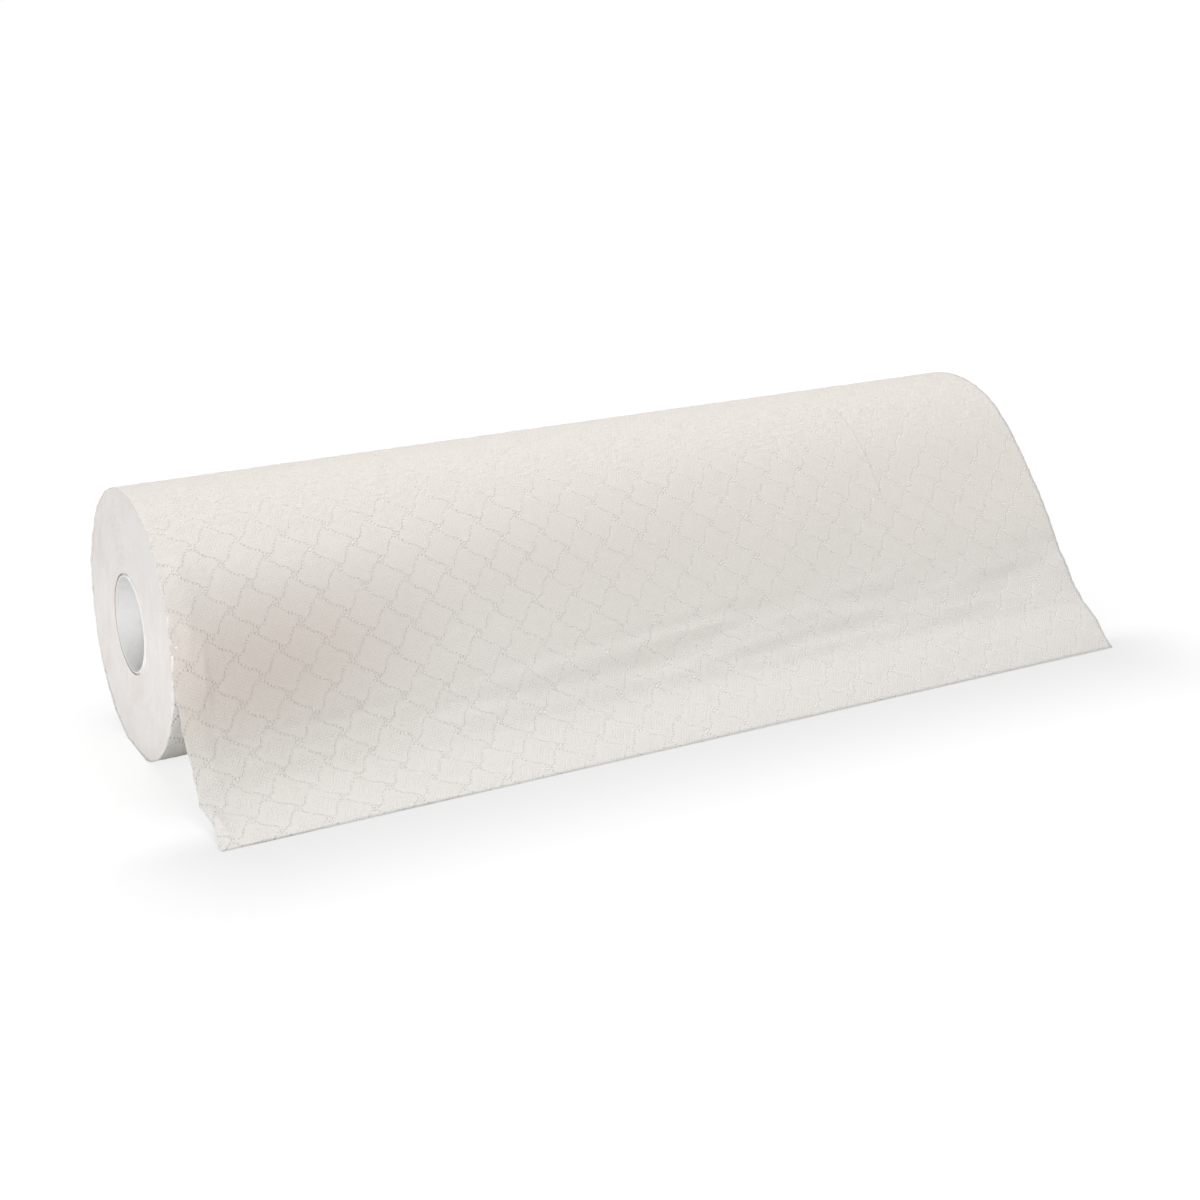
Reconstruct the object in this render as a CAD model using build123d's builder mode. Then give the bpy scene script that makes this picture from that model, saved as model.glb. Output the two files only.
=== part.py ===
from build123d import *
from math import cos, radians, sin, sqrt
import os

# A wide paper roll lies on its side with its axis along X.
# Z = 0 is the table, and the free end of the sheet hangs down the front, towards -Y.
# The origin is the middle of the flat spot on which the soft roll rests.

# Wound roll
roll_width = 500.0
roll_diameter = 128.8
flat_spot_width = 30.0
sheet_thickness = 0.5

# Core tube
core_bore_diameter = 45.0
core_wall = 1.6

# Spiral band of turns that stands back a little on both ends, with plain paper inside and outside it
band_half_turns = 7
band_width = 3.0
band_depth = 0.5
inner_margin = 3.6
outer_margin = 2.2

# Free end of the sheet: where it peels off the roll, with angles from the top of the roll
peel_angle = 42.0
lift_angle = 3.0
shoulder_angle = 66.0

# Free end at the left end of the roll: gaps and reach in front of the roll, heights over the table
left_shoulder_gap = 0.9
left_front_gap = 1.6
left_fall_reach = 10.6
left_fall_height = 34.5
left_knee_reach = 24.6
left_knee_height = 14.0
left_tip_reach = 53.4
left_tip_angle = 23.0

# Free end at the right end of the roll
right_shoulder_gap = 3.2
right_front_gap = 18.6
right_fall_reach = 29.4
right_fall_height = 44.8
right_knee_reach = 41.0
right_knee_height = 28.6
right_tip_reach = 70.6
right_tip_angle = 42.0

# The section is seen from +X, with Y to the right and Z up
roll_radius = roll_diameter / 2
axis_height = sqrt(roll_radius**2 - (flat_spot_width / 2) ** 2)
core_radius = core_bore_diameter / 2 + core_wall
first_band_radius = core_radius + inner_margin
half_turn_growth = (axis_height - outer_margin - first_band_radius) / band_half_turns
left_end = Plane.YZ.offset(-roll_width / 2)
right_end = Plane.YZ.offset(roll_width / 2)
axis_point = Vector(0, axis_height)


def from_axis(angle, distance):
    """Give the point of the section at this angle from the top, towards the front."""
    return axis_point + Vector(-sin(radians(angle)), cos(radians(angle))) * distance


def downhill(angle):
    """Give the direction of a sheet that runs to the front and down at this angle."""
    return Vector(-cos(radians(angle)), -sin(radians(angle)))


peel_outside = from_axis(peel_angle, roll_radius)
peel_inside = from_axis(peel_angle, roll_radius - sheet_thickness)
peel_direction = downhill(peel_angle - lift_angle)


def free_end_outline(
    shoulder_gap, front_gap, fall_reach, fall_height, knee_reach, knee_height, tip_reach, tip_angle
):
    """Draw the hanging sheet at one end of the roll: outer side, inner side, root and cut edge."""
    outer_points = [
        peel_outside,
        from_axis(shoulder_angle, roll_radius + shoulder_gap),
        Vector(-roll_radius - front_gap, axis_height),
        Vector(-roll_radius - fall_reach, fall_height),
        Vector(-roll_radius - knee_reach, knee_height),
        Vector(-roll_radius - tip_reach, sheet_thickness),
    ]
    outer = Spline(*outer_points, tangents=[peel_direction, downhill(tip_angle)])
    inner_points = [peel_inside]
    for point in outer_points[1:]:
        direction = outer % outer.param_at_point(point)
        inwards = Vector(-direction.Y, direction.X)
        inner_points.append(point + inwards * sheet_thickness)
    inner = Spline(*inner_points, tangents=[peel_direction, outer % 1])
    Line(outer @ 0, inner @ 0)
    Line(outer @ 1, inner @ 1)


# The paper is one web: all the turns of the roll, and the free end of the sheet
with BuildPart() as paper_web:
    # The outline runs once round the roll and ends one sheet lower, where the last turn peels off
    back_corner = Vector(flat_spot_width / 2, 0)
    front_corner = Vector(-flat_spot_width / 2, 0)
    with BuildSketch(left_end):
        with BuildLine():
            Line(front_corner, back_corner)
            ThreePointArc(back_corner, from_axis(-90, roll_radius), peel_outside)
            Line(peel_outside, peel_inside)
            ThreePointArc(peel_inside, from_axis(90, roll_radius - sheet_thickness / 2), front_corner)
        make_face()
    extrude(amount=roll_width)

    # The free end falls close to the roll on the left and further out on the right
    with BuildSketch(left_end):
        with BuildLine():
            free_end_outline(
                shoulder_gap=left_shoulder_gap,
                front_gap=left_front_gap,
                fall_reach=left_fall_reach,
                fall_height=left_fall_height,
                knee_reach=left_knee_reach,
                knee_height=left_knee_height,
                tip_reach=left_tip_reach,
                tip_angle=left_tip_angle,
            )
        make_face()
    with BuildSketch(right_end):
        with BuildLine():
            free_end_outline(
                shoulder_gap=right_shoulder_gap,
                front_gap=right_front_gap,
                fall_reach=right_fall_reach,
                fall_height=right_fall_height,
                knee_reach=right_knee_reach,
                knee_height=right_knee_height,
                tip_reach=right_tip_reach,
                tip_angle=right_tip_angle,
            )
        make_face()
    loft(ruled=True)

    # The core tube fills the hole through the turns
    with BuildSketch(left_end):
        with Locations(axis_point):
            Circle(core_radius)
    extrude(amount=roll_width, mode=Mode.SUBTRACT)

    # A spiral of half circles on each end, a little sunk, shows how the web is wound
    for end_plane, inwards in ((left_end, 1), (right_end, -1)):
        with BuildSketch(end_plane):
            with BuildLine():
                for half in range(band_half_turns):
                    radius = first_band_radius + half * half_turn_growth
                    side = half % 2
                    centre = axis_point + Vector((side - 0.5) * half_turn_growth, 0)
                    CenterArc(centre, radius, side * 180, 180)
            trace(line_width=band_width)
        extrude(amount=inwards * band_depth, mode=Mode.SUBTRACT)

paper_web.part.label = "paper_web"

# The cardboard tube that the web is wound on is cut flush with the paper
with BuildPart() as core_tube:
    with BuildSketch(left_end):
        with Locations(axis_point):
            Circle(core_radius)
            Circle(core_bore_diameter / 2, mode=Mode.SUBTRACT)
    extrude(amount=roll_width)

core_tube.part.label = "core_tube"

os.makedirs("parts", exist_ok=True)
for piece in (paper_web, core_tube):
    export_step(piece.part, f"parts/{piece.part.label}.step")
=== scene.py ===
"""Dresses a wide roll of embossed tissue on its side, with its free end hanging down the front."""

import math

import bpy
import numpy as np
from bpy.props import FloatProperty, FloatVectorProperty, IntProperty, PointerProperty
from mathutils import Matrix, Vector, noise


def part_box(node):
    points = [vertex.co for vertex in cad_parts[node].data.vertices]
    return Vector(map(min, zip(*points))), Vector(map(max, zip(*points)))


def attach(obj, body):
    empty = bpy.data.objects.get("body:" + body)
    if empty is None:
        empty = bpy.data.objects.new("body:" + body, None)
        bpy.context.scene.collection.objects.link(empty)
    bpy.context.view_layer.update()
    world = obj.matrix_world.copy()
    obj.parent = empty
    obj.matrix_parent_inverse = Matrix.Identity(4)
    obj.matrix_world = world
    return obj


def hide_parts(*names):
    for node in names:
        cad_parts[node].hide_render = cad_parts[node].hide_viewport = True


bl_info = {
    "name": "Exam Table Paper Roll",
    "version": (1, 0, 0),
    "blender": (4, 5, 0),
    "location": "3D View > Sidebar > Paper Roll",
    "description": "Builds the wound turns, the free sheet and the core of a wide tissue roll",
    "category": "Object",
}

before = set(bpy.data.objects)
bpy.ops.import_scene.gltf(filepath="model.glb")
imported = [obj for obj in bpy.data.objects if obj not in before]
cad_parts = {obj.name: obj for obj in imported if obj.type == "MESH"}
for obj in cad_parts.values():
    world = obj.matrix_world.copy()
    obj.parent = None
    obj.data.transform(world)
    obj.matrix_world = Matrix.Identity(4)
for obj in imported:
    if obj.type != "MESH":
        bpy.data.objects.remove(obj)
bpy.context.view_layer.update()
web_low, web_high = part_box("paper_web")
core_low, core_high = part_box("core_tube")

# Lengths are in millimetres, and in metres for the settings, lamps, camera and floor
MM = 0.001

# The roll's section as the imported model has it
HALF_WIDTH = (web_high.x - web_low.x) / 2 / MM
CORE_RADIUS = (core_high.y - core_low.y) / 2 / MM
AXIS_HEIGHT = (core_high.z + core_low.z) / 2 / MM
ROLL_RADIUS = web_high.y / MM
HALF_FLAT = math.sqrt(ROLL_RADIUS**2 - AXIS_HEIGHT**2)

# The angle from the top at which the flat spot starts, in radians
FLAT_ANGLE = math.acos(-AXIS_HEIGHT / ROLL_RADIUS)

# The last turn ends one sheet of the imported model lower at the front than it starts
TURN_STEP = 0.5

# Where the free end leaves the roll, in degrees from the top
PEEL_ANGLE = 42.0
LIFT_ANGLE = 3.0
SHOULDER_ANGLE = 66.0

# The free end at both ends of the roll: gaps and reaches in front of it, heights over the table.
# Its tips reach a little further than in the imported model, as far as those of the real sheet.
LEFT_FALL = {
    "shoulder": 0.9,
    "front": 1.6,
    "fall": (10.6, 34.5),
    "knee": (24.6, 14.0),
    "tip": 56.0,
    "tip_angle": 23.0,
}
RIGHT_FALL = {
    "shoulder": 3.2,
    "front": 18.6,
    "fall": (29.4, 44.8),
    "knee": (41.0, 28.6),
    "tip": 75.0,
    "tip_angle": 42.0,
}

# Rows of the sheet's mesh: down the free end, over the top, coarser behind it, below and in front
FREE_ROWS = 74
ROW_STEP = 2.0
BACK_ANGLE = -55.0
BACK_COARSENESS = 2.5
FLAT_ROWS = 7
FRONT_ROWS = 26

# Columns of the sheet's mesh that stand closer together, near its crumpled left edge
EDGE_COLUMNS = 24
EDGE_STEP = 0.9

# How far inside the cut edge the paper coordinates start, at the left and the right end
TIP_MARGIN = (2.4, 4.2)

# Uneven forms of the sheet: the width and height of their lumps, and a layer of noise for each
BROAD_WAVES = (60, 34, 3.1)
TAIL_RIPPLES = (48, 6.5, 8.4)
TOP_FURROWS = (4.2, 16, 5.7)
EDGE_SAG = (30, 7, 1.3)
EDGE_RIB = (40, 14, 6.2)
EDGE_CRUMPLES = (5, 3.8, 9.6)
EDGE_FURROWS = (9, 30, 4.4)
EDGE_FLARE = (5, 4.2, 5.3)
CUT_WANDER = (7, 7, 2.2)
CUT_FRAY = (2.6, 2.6, 4.9)
CUT_NOTCHES = (4.5, 4.5, 6.6)

# Heights up the sheet over which it becomes loose, rumpled, part of the roll and furrowed
LOOSE_FROM = (20, 45)
RUMPLED_FROM = (55, 75)
WOUND_FROM = (130, 150)
FURROWED_FROM = (150, 170)

# Forms of the sheet, each with its middle and width, up the sheet or aside from the left edge
FOLD_UP = (28.5, 13)
DIP_UP = (30, 24)
RIPPLES_UP = (48, 15)
NOTCHES_UP = (95, 32)
FLARE_UP = (104, 17)
CURL_UP = (15, 9)
RIB_ASIDE = (9, 4)
FURROWS_ASIDE = (22, 9)

# Soft upright folds: distance from the left edge, width, height up the sheet, length and depth
UPRIGHT_FOLDS = (
    (13.5, 2.2, 84, 16, 0.9),
    (17, 3, 58, 8, 0.7),
)

# How far the sheet can sink before it meets the wound turns: at the peel, and what is added below
PEEL_ROOM = 0.1
ADDED_ROOM = (
    (0.7, 138, 114),
    (0.6, 114, 88),
    (9, 88, 60),
)

# The wound turns: the skin's depth under the last turn, and how far a ring moves out in one turn
SKIN_DEPTH = 0.32
RING_GROWTH = 0.9

# The cut ends of the roll: how deep rings, waves, dents and the rim are, and the sink on average
RING_DEPTH = 0.10
WAVE_DEPTH = 0.30
DENT_DEPTH = 0.25
RIM_DEPTH = 0.25
MEAN_SINK = 0.3
SINK_RANGE = (0.02, 1.2)

# One period of an embossed row of dots: how far along and how far up each dot lies
ROW_PERIOD = 21.3
ROW_SPACING = 10.6
ROW_START = (-135.96, 108.8)
ROW_DOTS = (
    (0.0, 0.0),
    (1.82, -0.29),
    (3.38, 0.86),
    (3.97, 2.43),
    (4.58, 4.14),
    (5.5, 5.71),
    (6.4, 7.14),
    (7.9, 8.4),
    (9.6, 7.95),
    (11.2, 7.2),
    (12.5, 5.8),
    (13.9, 4.6),
    (15.35, 3.55),
    (17.1, 2.9),
    (18.75, 2.2),
    (19.95, 0.85),
)
CROSSING_DOTS = ((-1.43, -0.86), (0.71, -1.57))
DOT_SPACING = 1.83

# The heights that a row's curve holds, and how many points it has
ROW_LOWEST = -1.0
ROW_RANGE = 10.0
ROW_POINTS = 33

# The small dots of a cell: middle from a row's start, steps both ways, and dots beside the middle
CELL_MIDDLE = (-10.3, -1.6)
CELL_STEPS = ((1.18, -0.77), (0.767, 1.146))
CELL_REACH = 3.0
SMALL_SPACING = 1.4

# How the lines of small dots bend: their sag, and how it changes along the cell
CELL_BENDS = ((0.07, -0.108), (0.07, 0.087))

# Distances from a dot's middle over which it fades out
LARGE_DOT_EDGE = (0.1, 0.78)
SMALL_DOT_EDGE = (0.1, 0.6)

# The crease near the right end: its place, half its width and the heights where it starts and ends
CREASE_PLACE = 142.8
CREASE_REACH = 1.7
CREASE_START = (92.0, 112.0)
CREASE_END = (182.0, 160.0)

# Flecks in the paper: place, radius and colour
FLECKS = (
    ((-176.0, 90.0), 0.45, (0.78, 0.50, 0.36)),
    ((-20.0, 102.0), 0.32, (0.28, 0.24, 0.20)),
)

# Heights up the sheet over which its looks change: the top of the roll, the tail, the cooler tone
# of the lower part, partly painted shade, and the painted light on the run up the front behind the
# free end
TOP_START = (125.0, 170.0)
TOP_END = (290.0, 230.0)
TAIL_END = (75.0, 40.0)
SHADE_END = (20.0, 110.0)
BEHIND_START = (420.0, 460.0)

# The rows are pressed deeper towards the left end
DEEPER_TO_LEFT = (120.0, -250.0)

# The painted shade, a soft darker patch on the left of the free end: its middle, and half its width
# and height
PAINTED_SHADE_PLACE = (30.0 - HALF_WIDTH, 76.0)
PAINTED_SHADE_REACH = (100.0, 46.0)

# The heights over the axis, in metres, from which painted light for the floor's bounce makes the cut
# ends paler downwards
PAINTED_BOUNCE_DOWN = (0.035, -0.055)

# The brown cut edge of the core: how far it reaches along the core, and in from the outside
BOARD_EDGE_ALONG = (HALF_WIDTH - 0.9, HALF_WIDTH - 0.3)
BOARD_EDGE_ACROSS = (CORE_RADIUS - 1.4, CORE_RADIUS - 0.8)

# The board's spiral seam: how far it runs along the core in one turn, in metres, and how it
# fades to the sides, as shares of that
SEAM_PITCH = 0.085
SEAM_EDGE = (0.006, 0.02)

# How much light the white surround gives, how bright the near floor is to the camera, and how
# far from the middle it passes into full white
SURROUND_LIGHT = 0.35
NEAR_FLOOR = 0.8
NEAR_FLOOR_END = (0.35, 1.1)

# The shade on the floor in front of the sheet: its depth, and the line under the sheet's tip,
# with its Y at the middle and its slope along X. It fades to the front, the back and both sides.
FRONT_SHADE = 0.19
TIP_LINE_Y = -0.13
TIP_LINE_SLOPE = -0.038
FRONT_FADE = (0.088, -0.01)
BACK_FADE = (-0.03, 0.0)
SIDE_FADE = (0.32, 0.23)

# The floor: its half width, and how far it lies below the table plane
FLOOR_REACH = 30.0
FLOOR_DROP = 0.0002

# Softboxes, all turned to one point of the roll: name, place, size and power
SOFTBOX_TARGET = (0.0, -0.03, 0.05)
SOFTBOXES = (
    ("overhead_softbox", (0.1, -0.1, 1.6), 0.6, 5.2),
    ("back_softbox", (-0.1, 0.5, 1.4), 0.6, 7.4),
    ("front_softbox", (-0.2, -1.2, 1.2), 0.6, 1.2),
    ("left_softbox", (-1.6, -0.2, 0.4), 1.0, 4.6),
    ("low_left_softbox", (-1.2, -1.0, 0.15), 0.8, 8.0),
    ("right_softbox", (1.4, -1.0, 1.0), 1.0, 5.2),
)

# The narrow lamp that shines into the core: where it stands, and the spot that it lights
CORE_LAMP_PLACE = (-0.55, -1.1, 0.18)
CORE_LAMP_TARGET = (-HALF_WIDTH * MM, 0.0, AXIS_HEIGHT * MM - 0.003)
CORE_LAMP_REACH = 0.025
CORE_LAMP_POWER = 12.5

# The camera: place, sensor, lens, shift, and how far it is tilted down and turned, in degrees
CAMERA_PLACE = (-0.4679, -0.7994, 0.3560)
CAMERA_SENSOR = 36.0
CAMERA_LENS = 54.2
CAMERA_SHIFT = -0.1827
CAMERA_TILT = 12.489
CAMERA_TURN = 30.619

WHITE = (1.0, 1.0, 1.0, 1.0)


def colour_setting(name, description, default):
    """Give a colour property with its name, description and default."""
    return FloatVectorProperty(
        name=name,
        description=description,
        subtype="COLOR",
        size=3,
        default=default,
        min=0.0,
        max=1.0,
    )


class PaperRollSettings(bpy.types.PropertyGroup):
    """Sizes and colours of the paper roll."""

    sheet_thickness: FloatProperty(
        name="Sheet Thickness",
        description="Thickness of the free sheet",
        default=0.00025,
        min=0.0001,
        max=0.0005,
        precision=5,
        unit="LENGTH",
    )
    dot_depth: FloatProperty(
        name="Dot Depth",
        description="How deep the embossed dots are pressed in",
        default=0.0004,
        precision=5,
        unit="LENGTH",
    )
    sheet_columns: IntProperty(
        name="Sheet Columns",
        description="Mesh columns across the width of the sheet",
        default=250,
        min=2 * EDGE_COLUMNS,
    )
    tissue_colour: colour_setting(
        "Tissue", "Colour of the tissue in the light", (0.805, 0.76, 0.717)
    )
    # Partly the tissue's own cooler tone and partly painted shade on the lower part of the sheet
    shade_colour: colour_setting(
        "Tissue Shade", "Cooler tone of the tissue lower down", (0.775, 0.754, 0.72)
    )
    # Painted shade: how much a soft patch of tissue on the left of the free end is darkened
    painted_shade_colour: colour_setting(
        "Tissue Painted Shade",
        "How much the tissue is dulled where it hangs close to the roll",
        (0.835, 0.803, 0.772),
    )
    # Painted light: a painted highlight on each embossed dot, and pale painted light on the run
    # behind the free end
    painted_light_colour: colour_setting(
        "Tissue Painted Light",
        "Colour of the tissue where a dot presses its two plies together",
        (0.95, 0.92, 0.88),
    )
    cut_colour: colour_setting(
        "Cut Tissue", "Colour of the cut turns on the ends of the roll", (0.85, 0.823, 0.80)
    )
    blotch_colour: colour_setting(
        "Cut Tissue Blotches",
        "How much the cut turns are dulled in soft blotches",
        (0.975, 0.945, 0.935),
    )
    board_colour: colour_setting(
        "Core Board", "Colour of the inside of the cardboard core", (0.93, 0.925, 0.915)
    )
    board_edge_colour: colour_setting(
        "Core Edge", "Colour of the cut edge of the cardboard core", (0.36, 0.27, 0.20)
    )


# Section of the roll


def from_axis(angle, distance):
    """Give the point of the section at this angle from the top, towards the front."""
    turn = math.radians(angle)
    return np.array([-math.sin(turn) * distance, AXIS_HEIGHT + math.cos(turn) * distance])


def downhill(angle):
    """Give the direction of a sheet that runs to the front and down at this angle."""
    return np.array([-math.cos(math.radians(angle)), -math.sin(math.radians(angle))])


def smooth_curve(points, first_direction, last_direction, shares):
    """Sample the smooth cubic curve through the points, with given directions at its ends."""
    points = np.array(points, float)
    spans = np.hypot(*np.diff(points, axis=0).T)
    knots = np.concatenate([[0.0], np.cumsum(spans)])
    count = len(points)
    matrix = np.eye(count)
    slopes = np.zeros((count, 2))
    slopes[0] = first_direction
    slopes[-1] = last_direction
    for i in range(1, count - 1):
        before, after = spans[i - 1], spans[i]
        matrix[i, i - 1 : i + 2] = after, 2 * (before + after), before
        rise = after * (points[i] - points[i - 1]) / before
        fall = before * (points[i + 1] - points[i]) / after
        slopes[i] = 3 * (rise + fall)
    slopes = np.linalg.solve(matrix, slopes)
    places = np.asarray(shares) * knots[-1]
    span = np.clip(np.searchsorted(knots, places, side="right") - 1, 0, count - 2)
    t = ((places - knots[span]) / spans[span])[:, None]
    width = spans[span][:, None]
    start, end = points[span], points[span + 1]
    out, back = slopes[span] * width, slopes[span + 1] * width
    return (
        (2 * t**3 - 3 * t**2 + 1) * start
        + (t**3 - 2 * t**2 + t) * out
        + (-2 * t**3 + 3 * t**2) * end
        + (t**3 - t**2) * back
    )


def fall_curve(fall, shares, tip_height):
    """Sample the free end at one end of the roll, from where it peels off to its tip."""
    points = [
        from_axis(PEEL_ANGLE, ROLL_RADIUS),
        from_axis(SHOULDER_ANGLE, ROLL_RADIUS + fall["shoulder"]),
        (-ROLL_RADIUS - fall["front"], AXIS_HEIGHT),
        (-ROLL_RADIUS - fall["fall"][0], fall["fall"][1]),
        (-ROLL_RADIUS - fall["knee"][0], fall["knee"][1]),
        (-ROLL_RADIUS - fall["tip"], tip_height),
    ]
    first = downhill(PEEL_ANGLE - LIFT_ANGLE)
    return smooth_curve(points, first, downhill(fall["tip_angle"]), shares)


def wound_path():
    """Sample the last turn from the peel, over the top, round the back and up the front again."""
    corner = math.degrees(FLAT_ANGLE)
    over = np.arange(PEEL_ANGLE, -corner, -math.degrees(ROW_STEP / ROLL_RADIUS))
    fine = over[over > BACK_ANGLE]
    coarse = math.degrees(BACK_COARSENESS * ROW_STEP / ROLL_RADIUS)
    back = np.linspace(BACK_ANGLE, -corner, int((corner + BACK_ANGLE) / coarse) + 1)
    points = [from_axis(angle, ROLL_RADIUS) for angle in np.concatenate([fine, back])]
    points += [np.array([y, 0.0]) for y in np.linspace(HALF_FLAT, -HALF_FLAT, FLAT_ROWS)[1:]]
    for angle in np.linspace(corner, PEEL_ANGLE, FRONT_ROWS)[1:]:
        sunk = TURN_STEP * (corner - angle) / (corner - PEEL_ANGLE)
        points.append(from_axis(angle, ROLL_RADIUS - sunk))
    return np.array(points)


# Forms of the sheet


def soft_noise(x, y, lumps):
    """Give smooth noise from about -1 to 1 whose lumps have the given width, height and layer."""
    width, height, layer = lumps
    flat = zip((x / width).ravel(), (y / height).ravel())
    values = [noise.noise(Vector((a, b, layer))) for a, b in flat]
    return np.array(values).reshape(np.shape(x)) * 1.6


def bell(value, middle, width):
    """Give 1 at the middle, falling smoothly to 0 a few widths away."""
    return np.exp(-(((value - middle) / width) ** 2))


def ramp(value, start, end):
    """Go smoothly from 0 at the start to 1 at the end."""
    t = np.clip((value - start) / (end - start), 0, 1)
    return t * t * (3 - 2 * t)


def sheet_relief(x, up):
    """Give how far the sheet stands out from its smooth form."""
    edge = x + HALF_WIDTH
    free = 1 - ramp(up, *WOUND_FROM)
    loose = ramp(up, *LOOSE_FROM) * free
    rumpled = ramp(up, *RUMPLED_FROM) * free
    furrowed = ramp(up, *FURROWED_FROM)
    flared = bell(up, *FLARE_UP)
    at_edge = np.exp(-edge / 5)
    near_edge = np.exp(-edge / 60)

    # Broad waves, long ripples above the tail, and fine furrows on the roll
    relief = 0.35 * free * soft_noise(x, up, BROAD_WAVES)
    ripples = soft_noise(x + 0.6 * up, up - 0.04 * edge, TAIL_RIPPLES)
    relief += 1.25 * bell(up, *RIPPLES_UP) * ripples
    relief += 0.16 * furrowed * soft_noise(x, up, TOP_FURROWS)

    # The fold above the tail is deepest on the left, where it has a sharp lip in a wide dip
    fold = np.clip(1 - np.abs(up - FOLD_UP[0]) / FOLD_UP[1], 0, 1) ** 1.1
    relief -= (0.9 + 1.1 * np.exp(-edge / 70)) * fold
    relief += 0.5 * bell(up, 29 + 0.02 * edge, 1.5) * near_edge
    relief -= 1.6 * near_edge * bell(up, *DIP_UP)

    # The left edge sags in beside a rib, and is crumpled
    relief -= 1.1 * loose * at_edge * (1 + 0.7 * soft_noise(x, up, EDGE_SAG))
    relief += 0.8 * loose * bell(edge, *RIB_ASIDE) * (1 + 0.5 * soft_noise(x, up, EDGE_RIB))
    relief += 0.7 * rumpled * np.exp(-edge / 8) * soft_noise(x, up, EDGE_CRUMPLES)
    relief += 0.5 * loose * bell(edge, *FURROWS_ASIDE) * soft_noise(x, up, EDGE_FURROWS)
    relief += flared * at_edge * (0.4 + 0.4 * soft_noise(x, up, EDGE_FLARE))
    for aside, width, height, length, depth in UPRIGHT_FOLDS:
        relief += depth * bell(edge, aside, width) * bell(up, height, length)

    # The tail's left corner curls up
    relief += 1.3 * bell(edge, 4.0 - 0.12 * (up - 14), 1.6) * bell(up, *CURL_UP)

    # The sheet stays outside the wound turns
    room = PEEL_ROOM + sum(more * ramp(up, start, end) for more, start, end in ADDED_ROOM)
    return np.maximum(relief, -room)


def edge_shift(x, up):
    """Give how far the sheet's uneven cut edges move its points to the right."""
    left = np.exp(-(x + HALF_WIDTH) / 2)
    right = np.exp(-(HALF_WIDTH - x) / 2)
    wander = soft_noise(up, up, CUT_WANDER) + 0.5 * soft_noise(up, up, CUT_FRAY)
    shift = 0.35 * wander * (left + right)
    shift += 0.8 * soft_noise(up, up, CUT_NOTCHES) * left * bell(up, *NOTCHES_UP)

    # Above its tip the left edge is drawn in, less so at the fold. The right corner slants in.
    drawn_in = 1.7 * ramp(up, 62, 42) * ramp(up, 1, 9) - 1.1 * bell(up, FOLD_UP[0], 5)
    shift += drawn_in * np.exp(-(x + HALF_WIDTH) / 25)
    shift -= 2.0 * ramp(x, HALF_WIDTH - 60, HALF_WIDTH) * ramp(up, 16, 0)
    return shift


# Meshes


def new_piece(name, vertices, faces, materials, node):
    """Make a smooth mesh object from millimetres that rides on the roll and stands for a node."""
    mesh = bpy.data.meshes.new(name)
    mesh.from_pydata((np.asarray(vertices) * MM).tolist(), [], faces)
    mesh.polygons.foreach_set("use_smooth", [True] * len(mesh.polygons))
    for material in materials:
        mesh.materials.append(material)
    piece = bpy.data.objects.new(name, mesh)
    bpy.context.scene.collection.objects.link(piece)
    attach(piece, "root")
    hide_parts(node)
    return piece


def grid_faces(rows, columns, first=0, flip=False):
    """Give the four-cornered faces of a grid of vertices."""
    start = np.arange(rows - 1)[:, None] * columns + np.arange(columns - 1)[None, :] + first
    corners = [start, start + 1, start + columns + 1, start + columns]
    faces = np.stack(corners[::-1] if flip else corners, axis=-1).reshape(-1, 4)
    return faces.tolist()


def grid_rim(rows, columns):
    """Give the vertices round the rim of a grid, in order."""
    rim = [r * columns for r in range(rows)]
    rim += [(rows - 1) * columns + c for c in range(1, columns)]
    rim += [r * columns + columns - 1 for r in range(rows - 2, -1, -1)]
    return rim + list(range(columns - 2, 0, -1))


def sheet_surface(settings):
    """Give the sheet's grid of points, its outward directions and its paper coordinates."""
    columns = settings.sheet_columns + 1
    near = np.arange(EDGE_COLUMNS) * EDGE_STEP
    rest = np.linspace(EDGE_COLUMNS * EDGE_STEP, 2 * HALF_WIDTH, columns - EDGE_COLUMNS)
    x = np.concatenate([near, rest]) - HALF_WIDTH
    share = ((x + HALF_WIDTH) / (2 * HALF_WIDTH))[None, :, None]
    shares = np.linspace(1, 0, FREE_ROWS)
    tip = settings.sheet_thickness / MM
    left = fall_curve(LEFT_FALL, shares, tip)[:, None, :]
    right = fall_curve(RIGHT_FALL, shares, tip)[:, None, :]
    free = left * (1 - share) + right * share
    wound = np.repeat(wound_path()[1:, None, :], columns, axis=1)
    section = np.concatenate([free, wound], axis=0)
    steps = np.hypot(*np.moveaxis(np.diff(section, axis=0), 2, 0))
    up = np.concatenate([np.zeros((1, columns)), np.cumsum(steps, axis=0)])
    up = up - (TIP_MARGIN[0] * (1 - share[..., 0]) + TIP_MARGIN[1] * share[..., 0])
    x = np.broadcast_to(x, up.shape)
    points = np.stack([x, section[..., 0], section[..., 1]], axis=-1)
    normals = np.cross(np.gradient(points, axis=1), np.gradient(points, axis=0))
    normals /= np.linalg.norm(normals, axis=-1, keepdims=True)
    return points, normals, x, up


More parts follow.
